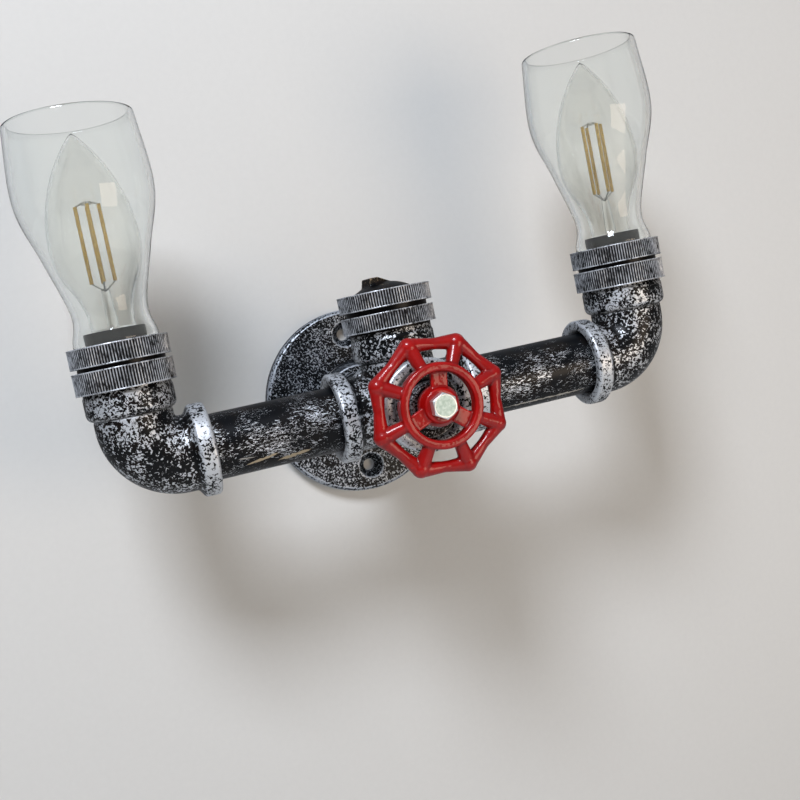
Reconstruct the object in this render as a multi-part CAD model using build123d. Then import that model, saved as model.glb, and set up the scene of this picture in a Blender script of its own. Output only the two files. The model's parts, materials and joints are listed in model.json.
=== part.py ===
from build123d import *
import os
from math import cos, pi, sin, sqrt

# Industrial pipe wall light: a wall flange and nipple carry a pipe cross, two pipes run out to
# elbows, and three threaded cups stand on top. The outer cups hold a lamp and a clear glass
# shade, the centre cup is blanked by a plug, and a red handwheel turns on the front port.
#
# Millimetres. The origin is the centre of the flange's back face, on the wall. +X runs along
# the pipes to the right, +Z is up, and the lamp stands out from the wall along -Y.

# Wall flange
FLANGE_DIAMETER = 90.0
FLANGE_THICKNESS = 7.0
FLANGE_BEVEL = 1.3
FLANGE_HUB_WALL = 5.55
FLANGE_HUB_TAPER = 1.5
FLANGE_HUB_HEIGHT = 16.0
SCREW_CIRCLE_DIAMETER = 66.0
SCREW_COUNT = 4
SCREW_HOLE_DIAMETER = 5.8
COUNTERSINK_DIAMETER = 12.4
COUNTERSINK_DEPTH = 4.0

# Pipes and their joints
PIPE_DIAMETER = 26.9
PIPE_WALL = 2.65
PIPE_ENGAGEMENT = 12.0
PIPE_AXIS_FROM_WALL = 85.4
PIPE_EXPOSED = 51.0
NIPPLE_INSET = 1.0
THREAD_GAP = 0.1

# Cast fittings
FITTING_WALL = 2.05
COLLAR_RISE = 3.4
COLLAR_WIDTH = 7.0
COLLAR_BEVEL = 0.8
COLLAR_ROOT = 1.6
PORT_MOUTH_BEVEL = 1.6
WATERWAY_STEP = 2.95
CROSS_ARM = 32.0
CROSS_SWELL = 2.25
ELBOW_ARM = 27.3
ELBOW_INNER_BEND = 0.5
CUP_PORT_RISE = 4.0

# Threaded cups
CUP_STEP = 0.45
CUP_WALL = 2.2
CUP_BASE_ROUND = 3.0
CUP_FLOOR = 3.5
CUP_HEIGHT = 23.5
CUP_PLAIN_HEIGHT = 9.5
SPIGOT_DIAMETER = 23.0
SPIGOT_BORE_DIAMETER = 17.4
SPIGOT_LENGTH = 11.5

# Knurled rings
RING_WALL = 2.5
RING_RIM = 0.5
RING_RUNNING_GAP = 0.3
KNURL_COUNT = 108
KNURL_DEPTH = 0.6
CENTER_RING_HEIGHT = 7.0
CENTER_RING_GAP = 2.0
SIDE_LOCK_RING_HEIGHT = 8.8
SIDE_SHADE_RING_HEIGHT = 7.8
SIDE_RING_GAP = 1.5
RING_ABOVE_CUP = 5.5

# Glass shade
GASKET_THICKNESS = 1.0
GLASS_WALL = 2.0
GLASS_SEAT_WIDTH = 1.6
GLASS_NECK_HEIGHT = 5.6
GLASS_HOLDER_GAP = 0.8
GLASS_WAIST_HEIGHT = 17.5
GLASS_BOWL_DIAMETER = 54.0
GLASS_BOWL_HEIGHT = 62.0
GLASS_RIM_DIAMETER = 50.0
GLASS_HEIGHT = 92.0

# Lampholder and lamp
HOLDER_NIPPLE_DIAMETER = 10.0
HOLDER_NIPPLE_BORE = 8.0
HOLDER_NIPPLE_LENGTH = 13.0
HOLDER_NUT_FLATS = 14.0
HOLDER_NUT_THICKNESS = 2.5
HOLDER_BASE_LIP = 1.5
HOLDER_SIDE_GAP = 1.5
HOLDER_BASE_HEIGHT = 5.0
HOLDER_DIAMETER = 24.0
HOLDER_HEIGHT = 30.0
HOLDER_ENTRY_DEPTH = 6.0
HOLDER_FLOOR = 3.0
SCREW_SHELL_DIAMETER = 16.4
SCREW_SHELL_WALL = 0.9
SCREW_SHELL_GAP = 0.15
LAMP_CAP_DIAMETER = 13.9
LAMP_CAP_LENGTH = 18.0
LAMP_TIP_DIAMETER = 5.0
LAMP_NECK_DIAMETER = 17.2
LAMP_BULB_DIAMETER = 35.0
LAMP_BULB_HEIGHT = 77.0
LAMP_NECK_HEIGHT = 2.0
LAMP_BELLY_HEIGHT = 34.0
LAMP_TIP_WIDTH = 3.0
LAMP_TIP_HEIGHT = 1.2
LAMP_GLASS_WALL = 0.8
LAMP_SEAT = 3.0
CONTACT_THICKNESS = 0.6
CONTACT_WIDTH = 4.0
CONTACT_SIDE_GAP = 1.0
LAMP_TIP_RISE = 1.0
LAMP_CAP_SHOULDER_RISE = 3.0
LAMP_CAP_SHOULDER_ROUND = 0.5
FILAMENT_COUNT = 4
FILAMENT_DIAMETER = 1.6
FILAMENT_LENGTH = 34.0
FILAMENT_CIRCLE_DIAMETER = 9.0
LAMP_STEM_DIAMETER = 5.0
LAMP_STEM_HEIGHT = 16.0
LAMP_STEM_CROWN_DIAMETER = 12.0

# Top plug
PLUG_DOME_DIAMETER = 24.6
PLUG_DOME_HEIGHT = 3.4
PLUG_DOME_SHOULDER = 2.8
PLUG_HEAD_LENGTH = 10.4
PLUG_HEAD_WIDTH = 8.0
PLUG_HEAD_HEIGHT = 5.8
PLUG_HEAD_FLAT = 3.8
PLUG_HEAD_LEAN = 1.4
PLUG_HEAD_SHIFT = 2.7
PLUG_HEAD_TURN = 12.0

# Front bushing, spindle and handwheel
BUSHING_RECESS = 2.2
BUSHING_BOSS_DIAMETER = 19.0
BUSHING_BOSS_LENGTH = 8.5
BUSHING_GROOVE_WIDTH = 1.2
BUSHING_GROOVE_DEPTH = 1.0
STEM_DIAMETER = 10.0
STEM_RUNNING_GAP = 0.05
STEM_SHOULDER_DIAMETER = 13.0
STEM_SHOULDER_LENGTH = 2.8
STEM_END_GAP = 0.3
STEM_TAIL = 3.2
BUSHING_BOSS_BEVEL = 1.0
CLIP_DIAMETER = 14.4
CLIP_THICKNESS = 1.0
CLIP_GROOVE_DIAMETER = 8.4
CLIP_MOUTH = 5.0
WHEEL_REACH = 29.0
WHEEL_KNOB_DIAMETER = 6.4
WHEEL_KNOB_COUNT = 8
WHEEL_FIRST_KNOB = 17.0
WHEEL_RIM_BAR_WIDTH = 4.0
WHEEL_RIM_BAR_THICKNESS = 4.8
WHEEL_RIM_WAIST = 0.3
WHEEL_RIM_HEIGHT = 1.4
WHEEL_SPOKE_DIAMETER = 4.9
WHEEL_RING_OUTER_DIAMETER = 33.6
WHEEL_RING_INNER_DIAMETER = 26.6
WHEEL_RING_BASE = 1.4
WHEEL_RING_HEIGHT = 6.0
WHEEL_RING_ROUND = 1.0
WHEEL_WEB_COUNT = 3
WHEEL_WEB_WIDTH = 6.6
WHEEL_WEB_THICKNESS = 2.6
WHEEL_WEB_BASE = 2.2
WHEEL_WEB_TURN = 65.0
WHEEL_HUB_BASE_DIAMETER = 16.6
WHEEL_HUB_TOP_DIAMETER = 13.0
WHEEL_HUB_STRAIGHT = 3.2
WHEEL_HUB_HEIGHT = 6.2
WHEEL_BORE_GAP = 0.25
BOLT_DIAMETER = 6.0
BOLT_FLATS = 9.3
BOLT_HEAD_HEIGHT = 4.0
BOLT_CORNER_DROP = 1.0
BOLT_FACE_SHARE = 0.95
BOLT_LENGTH = 16.0
BOLT_HOLE_MARGIN = 2.0
CUTTER_MARGIN = 1.0

# Inner wiring
LEAD_DIAMETER = 4.0
LEAD_BEND_RADIUS = 20.0
LEAD_SPACING = 8.0
LEAD_HOLE_GAP = 0.15
LEAD_END_GAP = 0.4
TERMINAL_SIDE_GAP = 0.24
TERMINAL_HEIGHT = 12.8
TERMINAL_LENGTH = 16.0
TERMINAL_FROM_WALL = 8.0
TERMINAL_SCREW_DIAMETER = 3.2
TERMINAL_SCREW_SINK = 1.0
TERMINAL_SCREW_LENGTH = 3.4

# Places that follow from the sizes above
PIPE_BORE_DIAMETER = PIPE_DIAMETER - 2 * PIPE_WALL
WATERWAY_DIAMETER = PIPE_DIAMETER - 2 * WATERWAY_STEP
FLANGE_HUB_DIAMETER = PIPE_DIAMETER + 2 * FLANGE_HUB_WALL
FITTING_BODY_DIAMETER = PIPE_DIAMETER + 2 * FITTING_WALL
COLLAR_DIAMETER = FITTING_BODY_DIAMETER + 2 * COLLAR_RISE
CROSS_SWELL_DIAMETER = FITTING_BODY_DIAMETER + 2 * CROSS_SWELL
ELBOW_BEND_RADIUS = FITTING_BODY_DIAMETER / 2 + ELBOW_INNER_BEND
CUP_PORT_HEIGHT = FITTING_BODY_DIAMETER / 2 + CUP_PORT_RISE
HOLDER_BASE_DIAMETER = HOLDER_DIAMETER + 2 * HOLDER_BASE_LIP
TERMINAL_WIDTH = sqrt((PIPE_BORE_DIAMETER - 2 * TERMINAL_SIDE_GAP) ** 2 - TERMINAL_HEIGHT**2)
CUP_BORE_DIAMETER = HOLDER_BASE_DIAMETER + 2 * HOLDER_SIDE_GAP
CUP_THREAD_DIAMETER = CUP_BORE_DIAMETER + 2 * CUP_WALL
CUP_DIAMETER = CUP_THREAD_DIAMETER + 2 * CUP_STEP
RING_DIAMETER = CUP_THREAD_DIAMETER + 2 * RING_WALL
GLASS_NECK_DIAMETER = CUP_BORE_DIAMETER + 2 * GLASS_SEAT_WIDTH
GLASS_WAIST_DIAMETER = HOLDER_DIAMETER + 2 * (GLASS_WALL + GLASS_HOLDER_GAP)
HALF_SPAN = CROSS_ARM + PIPE_EXPOSED + ELBOW_ARM
CUP_RIM_HEIGHT = CUP_PORT_HEIGHT + CUP_HEIGHT
RING_TOP_HEIGHT = CUP_RIM_HEIGHT + RING_ABOVE_CUP
SHADE_SEAT_HEIGHT = CUP_RIM_HEIGHT + GASKET_THICKNESS
CUP_FLOOR_TOP = CUP_FLOOR + THREAD_GAP
HOLDER_CAVITY_BASE = CUP_FLOOR_TOP + HOLDER_ENTRY_DEPTH + HOLDER_FLOOR
LAMP_BASE = HOLDER_CAVITY_BASE + LAMP_SEAT
BUSHING_FACE = CROSS_ARM - BUSHING_RECESS
BUSHING_BACK = CROSS_ARM - PIPE_ENGAGEMENT
BUSHING_FRONT = BUSHING_FACE + BUSHING_BOSS_LENGTH
STEM_SHOULDER_BASE = BUSHING_FRONT + STEM_END_GAP
WHEEL_BACK = STEM_SHOULDER_BASE + STEM_SHOULDER_LENGTH
CLIP_BASE = BUSHING_BACK - STEM_END_GAP - CLIP_THICKNESS
STEM_BACK = CLIP_BASE - STEM_TAIL

BASE = (Align.CENTER, Align.CENTER, Align.MIN)
CROSS_CENTER = Vector(0, -PIPE_AXIS_FROM_WALL, 0)


def axis_frame(origin, direction):
    """Frame whose Z runs along direction; its X stays on the lamp's X where that is possible."""
    x_dir = (0, 0, 1) if abs(direction[0]) > 0 else (1, 0, 0)
    return Location(Plane(origin=origin, x_dir=x_dir, z_dir=direction))


def turned(corners):
    """Solid turned about Z from (radius, height) corners."""
    outline = Polyline(*[(radius, 0, height) for radius, height in corners], close=True)
    return revolve(make_face(outline), Axis.Z)


def rod(diameter, length, start=0.0):
    return Pos(0, 0, start) * Cylinder(diameter / 2, length, align=BASE)


def tube(outer_diameter, inner_diameter, length, start=0.0):
    return rod(outer_diameter, length, start) - rod(inner_diameter, length, start)


def bar(start, end, diameter):
    """Round bar between two points."""
    span = Vector(end) - Vector(start)
    return Location(Plane(origin=start, z_dir=span)) * Cylinder(diameter / 2, span.length, align=BASE)


# ---------------------------------------------------------------- wall side


def wall_flange():
    """Cast floor flange with a threaded hub and four countersunk screw holes."""
    radius = FLANGE_DIAMETER / 2
    hub_radius = FLANGE_HUB_DIAMETER / 2
    body = turned([
        (0, 0),
        (radius, 0),
        (radius, FLANGE_THICKNESS - FLANGE_BEVEL),
        (radius - FLANGE_BEVEL, FLANGE_THICKNESS),
        (hub_radius, FLANGE_THICKNESS),
        (hub_radius - FLANGE_HUB_TAPER, FLANGE_HUB_HEIGHT),
        (0, FLANGE_HUB_HEIGHT),
    ])
    body -= rod(PIPE_DIAMETER + 2 * THREAD_GAP, FLANGE_HUB_HEIGHT)
    sink_base = FLANGE_THICKNESS - COUNTERSINK_DEPTH
    screw_radius = SCREW_HOLE_DIAMETER / 2
    screw_hole = turned([
        (0, 0),
        (screw_radius, 0),
        (screw_radius, sink_base),
        (COUNTERSINK_DIAMETER / 2, FLANGE_THICKNESS),
        (0, FLANGE_THICKNESS),
    ])
    for place in PolarLocations(SCREW_CIRCLE_DIAMETER / 2, SCREW_COUNT):
        body -= place * screw_hole
    return axis_frame((0, 0, 0), (0, -1, 0)) * body


def rear_nipple():
    """Pipe nipple between the wall flange and the cross's rear port."""
    length = PIPE_AXIS_FROM_WALL - CROSS_ARM + PIPE_ENGAGEMENT - NIPPLE_INSET
    pipe = tube(PIPE_DIAMETER, PIPE_BORE_DIAMETER, length, NIPPLE_INSET)
    return axis_frame((0, 0, 0), (0, -1, 0)) * pipe


def terminal_holes():
    """The two wire ways of the terminal block, side by side."""
    return GridLocations(LEAD_SPACING, 0, 2, 1)


def terminal_screw_places():
    """Two clamping screws over each wire way."""
    return GridLocations(LEAD_SPACING, TERMINAL_LENGTH / 2, 2, 2)


def terminal_block():
    """Two-way terminal block pushed into the rear nipple's bore."""
    block = Box(TERMINAL_WIDTH, TERMINAL_HEIGHT, TERMINAL_LENGTH, align=BASE)
    for place in terminal_holes():
        block -= place * rod(LEAD_DIAMETER + 2 * LEAD_HOLE_GAP, TERMINAL_LENGTH)
    block = axis_frame((0, -TERMINAL_FROM_WALL, 0), (0, -1, 0)) * block
    return block - terminal_screw_set(TERMINAL_SCREW_DIAMETER + 2 * LEAD_HOLE_GAP, TERMINAL_SCREW_SINK)


def terminal_screw_set(diameter, rise):
    """Upright rods at the clamping screws, from the wire ways up to rise above the heads."""
    top = TERMINAL_HEIGHT / 2 - TERMINAL_SCREW_SINK + rise
    foot = TERMINAL_HEIGHT / 2 - TERMINAL_SCREW_SINK - TERMINAL_SCREW_LENGTH
    middle = -TERMINAL_FROM_WALL - TERMINAL_LENGTH / 2
    rods = [
        Pos(0, middle, 0) * place * rod(diameter, top - foot, foot)
        for place in terminal_screw_places()
    ]
    return Compound(children=rods)


def terminal_screws():
    return terminal_screw_set(TERMINAL_SCREW_DIAMETER, 0)


# ---------------------------------------------------------------- fittings


def fitting_arm(arm):
    """Outside of one arm: a round body that ends in a banded collar."""
    body_radius = FITTING_BODY_DIAMETER / 2
    collar_radius = COLLAR_DIAMETER / 2
    collar_base = arm - COLLAR_WIDTH
    return turned([
        (0, 0),
        (body_radius, 0),
        (body_radius, collar_base - COLLAR_ROOT),
        (collar_radius - COLLAR_BEVEL, collar_base),
        (collar_radius, collar_base + COLLAR_BEVEL),
        (collar_radius, arm - COLLAR_BEVEL),
        (collar_radius - COLLAR_BEVEL, arm),
        (0, arm),
    ])


def port_bore(arm, depth):
    """Threaded bore with a bevelled mouth, and the waterway behind it."""
    bore_radius = PIPE_DIAMETER / 2 + THREAD_GAP
    waterway_radius = WATERWAY_DIAMETER / 2
    return turned([
        (0, 0),
        (waterway_radius, 0),
        (waterway_radius, arm - depth),
        (bore_radius, arm - depth),
        (bore_radius, arm - PORT_MOUTH_BEVEL),
        (bore_radius + PORT_MOUTH_BEVEL, arm),
        (0, arm),
    ])


def cup_port_bore():
    """Bore that takes the spigot of a cup."""
    bore = rod(SPIGOT_DIAMETER + 2 * THREAD_GAP, CUP_PORT_HEIGHT)
    return bore - rod(SPIGOT_DIAMETER + CUTTER_MARGIN, CUP_PORT_HEIGHT - SPIGOT_LENGTH - THREAD_GAP)


def center_fitting():
    """Cross with four collared ports, left, right, rear and front, and a plain top port."""
    directions = [(1, 0, 0), (-1, 0, 0), (0, 1, 0), (0, -1, 0)]
    body = Sphere(CROSS_SWELL_DIAMETER / 2) + rod(FITTING_BODY_DIAMETER, CUP_PORT_HEIGHT)
    for direction in directions:
        body += axis_frame((0, 0, 0), direction) * fitting_arm(CROSS_ARM)
    for direction in directions:
        body -= axis_frame((0, 0, 0), direction) * port_bore(CROSS_ARM, PIPE_ENGAGEMENT)
    body -= rod(SPIGOT_BORE_DIAMETER, CUP_PORT_HEIGHT)
    body -= cup_port_bore()
    return Pos(*CROSS_CENTER) * body


def elbow_run(arm, diameter):
    """Round bar from the left elbow's pipe port, round the bend and up to the cup's port."""
    path = FilletPolyline((arm, 0, 0), (0, 0, 0), (0, 0, CUP_PORT_HEIGHT), radius=ELBOW_BEND_RADIUS)
    section = Plane(origin=path @ 0, z_dir=path % 0) * Circle(diameter / 2)
    return sweep(section, path)


def elbow(side):
    """Quarter bend with a collared port for the pipe and a plain port for the cup.

    It is drawn for the left end, and the right one is its mirror image.
    """
    inward = axis_frame((0, 0, 0), (1, 0, 0))
    collar = fitting_arm(ELBOW_ARM) - rod(COLLAR_DIAMETER, ELBOW_BEND_RADIUS)
    mouth = port_bore(ELBOW_ARM, PIPE_ENGAGEMENT) - rod(COLLAR_DIAMETER, ELBOW_ARM - PIPE_ENGAGEMENT)
    body = elbow_run(ELBOW_ARM - COLLAR_WIDTH, FITTING_BODY_DIAMETER) + inward * collar
    body -= elbow_run(ELBOW_ARM, SPIGOT_BORE_DIAMETER)
    body -= inward * mouth
    body -= cup_port_bore()
    if side > 0:
        body = mirror(body, Plane.YZ)
    return cup_axis(side) * body


def pipe(side):
    """Straight pipe from the cross out to an elbow."""
    length = PIPE_EXPOSED + 2 * PIPE_ENGAGEMENT
    start = Vector(side * (CROSS_ARM - PIPE_ENGAGEMENT), -PIPE_AXIS_FROM_WALL, 0)
    return axis_frame(start, (side, 0, 0)) * tube(PIPE_DIAMETER, PIPE_BORE_DIAMETER, length)


# ---------------------------------------------------------------- cups and rings


def cup():
    """Cast cup: a spigot for the port, a rounded base and a thread for the knurled rings."""
    radius = CUP_DIAMETER / 2
    thread_radius = CUP_THREAD_DIAMETER / 2
    bore_radius = CUP_BORE_DIAMETER / 2
    spigot_radius = SPIGOT_DIAMETER / 2
    spigot_bore_radius = SPIGOT_BORE_DIAMETER / 2
    hole_radius = HOLDER_NIPPLE_DIAMETER / 2 + THREAD_GAP
    round_middle = CUP_BASE_ROUND * (1 - sqrt(0.5))
    outline = [
        Line((hole_radius, THREAD_GAP), (spigot_bore_radius, THREAD_GAP)),
        Line((spigot_bore_radius, THREAD_GAP), (spigot_bore_radius, -SPIGOT_LENGTH)),
        Line((spigot_bore_radius, -SPIGOT_LENGTH), (spigot_radius, -SPIGOT_LENGTH)),
        Line((spigot_radius, -SPIGOT_LENGTH), (spigot_radius, 0)),
        Line((spigot_radius, 0), (radius - CUP_BASE_ROUND, 0)),
        ThreePointArc(
            (radius - CUP_BASE_ROUND, 0),
            (radius - round_middle, round_middle),
            (radius, CUP_BASE_ROUND),
        ),
        Line((radius, CUP_BASE_ROUND), (radius, CUP_PLAIN_HEIGHT)),
        Line((radius, CUP_PLAIN_HEIGHT), (thread_radius, CUP_PLAIN_HEIGHT)),
        Line((thread_radius, CUP_PLAIN_HEIGHT), (thread_radius, CUP_HEIGHT)),
        Line((thread_radius, CUP_HEIGHT), (bore_radius, CUP_HEIGHT)),
        Line((bore_radius, CUP_HEIGHT), (bore_radius, CUP_FLOOR_TOP)),
        Line((bore_radius, CUP_FLOOR_TOP), (hole_radius, CUP_FLOOR_TOP)),
        Line((hole_radius, CUP_FLOOR_TOP), (hole_radius, THREAD_GAP)),
    ]
    return turned_outline(outline)


def turned_outline(edges):
    """Solid turned about Z from edges drawn as (radius, height)."""
    face = Plane.XZ * make_face(Curve() + edges)
    return revolve(face, Axis.Z)


def knurled_ring(height, seat_height):
    """Ring with straight knurling between two plain rims.

    It screws on the cup's thread up to seat_height, and above that its bore clears the glass.
    """
    tip_radius = RING_DIAMETER / 2
    valley_radius = tip_radius - KNURL_DEPTH
    step = pi / KNURL_COUNT
    outline = []
    for index in range(2 * KNURL_COUNT):
        radius = valley_radius if index % 2 else tip_radius
        outline.append((radius * cos(index * step), radius * sin(index * step)))
    knurl = extrude(make_face(Polyline(*outline, close=True)), height - 2 * RING_RIM)
    ring = Pos(0, 0, RING_RIM) * knurl
    ring += rod(RING_DIAMETER, RING_RIM)
    ring += rod(RING_DIAMETER, RING_RIM, height - RING_RIM)
    ring -= rod(CUP_THREAD_DIAMETER + 2 * RING_RUNNING_GAP, seat_height)
    ring -= rod(GLASS_NECK_DIAMETER + 2 * RING_RUNNING_GAP, height - seat_height, seat_height)
    return ring


def cup_axis(side):
    return Pos(side * HALF_SPAN, -PIPE_AXIS_FROM_WALL, 0)


def shade_ring(side):
    """Upper ring, which closes on the glass neck or on the plug."""
    height = SIDE_SHADE_RING_HEIGHT if side else CENTER_RING_HEIGHT
    base = RING_TOP_HEIGHT - height
    seat = CUP_RIM_HEIGHT + RING_RUNNING_GAP - base
    return cup_axis(side) * Pos(0, 0, base) * knurled_ring(height, seat)


def lock_ring(side):
    """Lower ring, which locks the upper one."""
    upper_height = SIDE_SHADE_RING_HEIGHT if side else CENTER_RING_HEIGHT
    height = SIDE_LOCK_RING_HEIGHT if side else CENTER_RING_HEIGHT
    gap = SIDE_RING_GAP if side else CENTER_RING_GAP
    base = RING_TOP_HEIGHT - upper_height - gap - height
    return cup_axis(side) * Pos(0, 0, base) * knurled_ring(height, height)


def top_plug():
    """Blanking plug of the centre cup: a low dome with an off-centre wedge head to turn it by."""
    radius = GLASS_NECK_DIAMETER / 2
    rise = RING_TOP_HEIGHT - CUP_RIM_HEIGHT
    dome_radius = PLUG_DOME_DIAMETER / 2
    crown = rise + PLUG_DOME_HEIGHT
    outline = [
        Line((0, 0), (radius, 0)),
        Line((radius, 0), (radius, rise)),
        Line((radius, rise), (dome_radius, rise)),
        ThreePointArc((dome_radius, rise), (dome_radius / 2, rise + PLUG_DOME_SHOULDER), (0, crown)),
        Line((0, crown), (0, 0)),
    ]
    half = PLUG_HEAD_LENGTH / 2
    side_face = make_face(Polyline(
        (-half, 0, rise),
        (half, 0, rise),
        (half, 0, crown),
        (-half + PLUG_HEAD_LEAN + PLUG_HEAD_FLAT, 0, rise + PLUG_HEAD_HEIGHT),
        (-half + PLUG_HEAD_LEAN, 0, rise + PLUG_HEAD_HEIGHT),
        close=True,
    ))
    head = extrude(side_face, PLUG_HEAD_WIDTH / 2, both=True)
    plug = turned_outline(outline) + Pos(-PLUG_HEAD_SHIFT, 0, 0) * Rot(0, 0, PLUG_HEAD_TURN) * head
    return cup_axis(0) * Pos(0, 0, CUP_RIM_HEIGHT) * plug


# ---------------------------------------------------------------- glass shade


def shade_gasket(side):
    """Soft washer under the glass."""
    ring = tube(GLASS_NECK_DIAMETER, GLASS_NECK_DIAMETER - 2 * GLASS_WALL, GASKET_THICKNESS)
    return cup_axis(side) * Pos(0, 0, CUP_RIM_HEIGHT) * ring


def shade_profile(inset):
    """Outside of the glass, moved in by inset: straight neck, waist and bowl."""
    neck = GLASS_NECK_DIAMETER / 2 - inset
    waist = GLASS_WAIST_DIAMETER / 2 - inset
    bowl = GLASS_BOWL_DIAMETER / 2 - inset
    rim = GLASS_RIM_DIAMETER / 2 - inset
    shoulder_height = (GLASS_WAIST_HEIGHT + GLASS_BOWL_HEIGHT) / 2
    shoulder = (waist + bowl) / 2 + inset / 4
    straight = Line((neck, 0), (neck, GLASS_NECK_HEIGHT))
    curve = Spline(
        (neck, GLASS_NECK_HEIGHT),
        (waist, GLASS_WAIST_HEIGHT),
        (shoulder, shoulder_height),
        (bowl, GLASS_BOWL_HEIGHT),
        (rim, GLASS_HEIGHT),
        tangents=[(0, 1), (rim - bowl, GLASS_HEIGHT - GLASS_BOWL_HEIGHT)],
    )
    return straight, curve


def glass_shade(side):
    """Clear blown glass: its neck stands in the upper ring and its mouth is open above."""
    outer_neck, outer_curve = shade_profile(0)
    inner_neck, inner_curve = shade_profile(GLASS_WALL)
    outline = [
        outer_neck,
        outer_curve,
        Line(outer_curve @ 1, inner_curve @ 1),
        inner_curve,
        inner_neck,
        Line(inner_neck @ 0, outer_neck @ 0),
    ]
    return cup_axis(side) * Pos(0, 0, SHADE_SEAT_HEIGHT) * turned_outline(outline)


# ---------------------------------------------------------------- lampholder and lamp


def cup_seat(side):
    """Frame at the cup's seat on its port; the heights of what the cup holds count from here."""
    return cup_axis(side) * Pos(0, 0, CUP_PORT_HEIGHT)


def lampholder_nipple(side):
    """Hollow threaded nipple that fastens the lampholder to the cup's floor."""
    top = CUP_FLOOR_TOP + HOLDER_ENTRY_DEPTH - THREAD_GAP
    pipe_piece = tube(
        HOLDER_NIPPLE_DIAMETER, HOLDER_NIPPLE_BORE, HOLDER_NIPPLE_LENGTH, top - HOLDER_NIPPLE_LENGTH
    )
    return cup_seat(side) * pipe_piece


def lampholder_nut(side):
    """Lock nut under the cup's floor."""
    hexagon = RegularPolygon(HOLDER_NUT_FLATS / 2, 6, major_radius=False)
    nut = extrude(hexagon, HOLDER_NUT_THICKNESS)
    nut -= rod(HOLDER_NIPPLE_DIAMETER + 2 * THREAD_GAP, HOLDER_NUT_THICKNESS)
    return cup_seat(side) * Pos(0, 0, THREAD_GAP - HOLDER_NUT_THICKNESS) * nut


def lampholder(side):
    """Moulded lampholder body, open above for the lamp's cap."""
    top = CUP_FLOOR_TOP + HOLDER_HEIGHT
    body = rod(HOLDER_BASE_DIAMETER, HOLDER_BASE_HEIGHT, CUP_FLOOR_TOP)
    body += rod(HOLDER_DIAMETER, HOLDER_HEIGHT, CUP_FLOOR_TOP)
    entry = HOLDER_NIPPLE_DIAMETER + 2 * THREAD_GAP
    cavity = SCREW_SHELL_DIAMETER + 2 * SCREW_SHELL_GAP
    body -= rod(entry, HOLDER_ENTRY_DEPTH, CUP_FLOOR_TOP)
    body -= rod(cavity, top - HOLDER_CAVITY_BASE, HOLDER_CAVITY_BASE)
    return cup_seat(side) * body


def screw_shell(side):
    """Brass shell that takes the lamp's screw cap."""
    top = CUP_FLOOR_TOP + HOLDER_HEIGHT
    length = top - HOLDER_CAVITY_BASE - SCREW_SHELL_WALL
    bore = SCREW_SHELL_DIAMETER - 2 * SCREW_SHELL_WALL
    return cup_seat(side) * tube(SCREW_SHELL_DIAMETER, bore, length, HOLDER_CAVITY_BASE)


def center_contact(side):
    """Bent spring tongue under the lamp's tip."""
    thickness = CONTACT_THICKNESS
    reach = SCREW_SHELL_DIAMETER / 2 - SCREW_SHELL_WALL - CONTACT_SIDE_GAP
    rise = LAMP_SEAT - THREAD_GAP
    strip = make_face(Polyline(
        (-reach, 0, 0),
        (reach / 3, 0, 0),
        (reach / 3, 0, thickness),
        (-reach / 2, 0, thickness),
        (-reach / 3, 0, rise - thickness),
        (reach / 2, 0, rise - thickness),
        (reach / 2, 0, rise),
        (-reach / 3 - thickness, 0, rise),
        (-reach, 0, thickness),
        close=True,
    ))
    tongue = extrude(strip, CONTACT_WIDTH / 2, both=True)
    return cup_seat(side) * Pos(0, 0, HOLDER_CAVITY_BASE) * tongue


def lamp_cap(side):
    """Screw cap of the lamp, with its insulated tip."""
    radius = LAMP_CAP_DIAMETER / 2
    tip_radius = LAMP_TIP_DIAMETER / 2
    cap = turned([
        (0, 0),
        (tip_radius, 0),
        (tip_radius, LAMP_TIP_RISE),
        (radius - LAMP_CAP_SHOULDER_ROUND, LAMP_CAP_SHOULDER_RISE),
        (radius, LAMP_CAP_SHOULDER_RISE + LAMP_CAP_SHOULDER_ROUND),
        (radius, LAMP_CAP_LENGTH),
        (0, LAMP_CAP_LENGTH),
    ])
    return cup_seat(side) * Pos(0, 0, LAMP_BASE) * cap


def lamp_profile(inset):
    """Outside of the candle-shaped lamp glass, moved in by inset: neck, flare, belly and tip."""
    neck = LAMP_NECK_DIAMETER / 2 - inset
    belly = LAMP_BULB_DIAMETER / 2 - inset
    tip = LAMP_TIP_WIDTH / 2 - inset / 2
    top = LAMP_BULB_HEIGHT - inset
    turn = ((neck + belly) / 2, (LAMP_NECK_HEIGHT + LAMP_BELLY_HEIGHT) / 2)
    return (
        Line((neck, inset), (neck, LAMP_NECK_HEIGHT)),
        TangentArc((neck, LAMP_NECK_HEIGHT), turn, tangent=(0, 1)),
        TangentArc((belly, LAMP_BELLY_HEIGHT), turn, tangent=(0, -1)),
        TangentArc((belly, LAMP_BELLY_HEIGHT), (tip, top - LAMP_TIP_HEIGHT), tangent=(0, 1)),
        Line((tip, top - LAMP_TIP_HEIGHT), (0, top)),
    )


def lamp_body(inset):
    """Solid lamp shape, moved in by inset."""
    foot = Line((0, inset), (LAMP_NECK_DIAMETER / 2 - inset, inset))
    axis = Line((0, inset), (0, LAMP_BULB_HEIGHT - inset))
    return turned_outline([foot, *lamp_profile(inset), axis])


def lamp_glass(side):
    """Thin closed glass envelope."""
    shell = lamp_body(0) - lamp_body(LAMP_GLASS_WALL)
    return cup_seat(side) * Pos(0, 0, LAMP_BASE + LAMP_CAP_LENGTH) * shell


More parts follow.
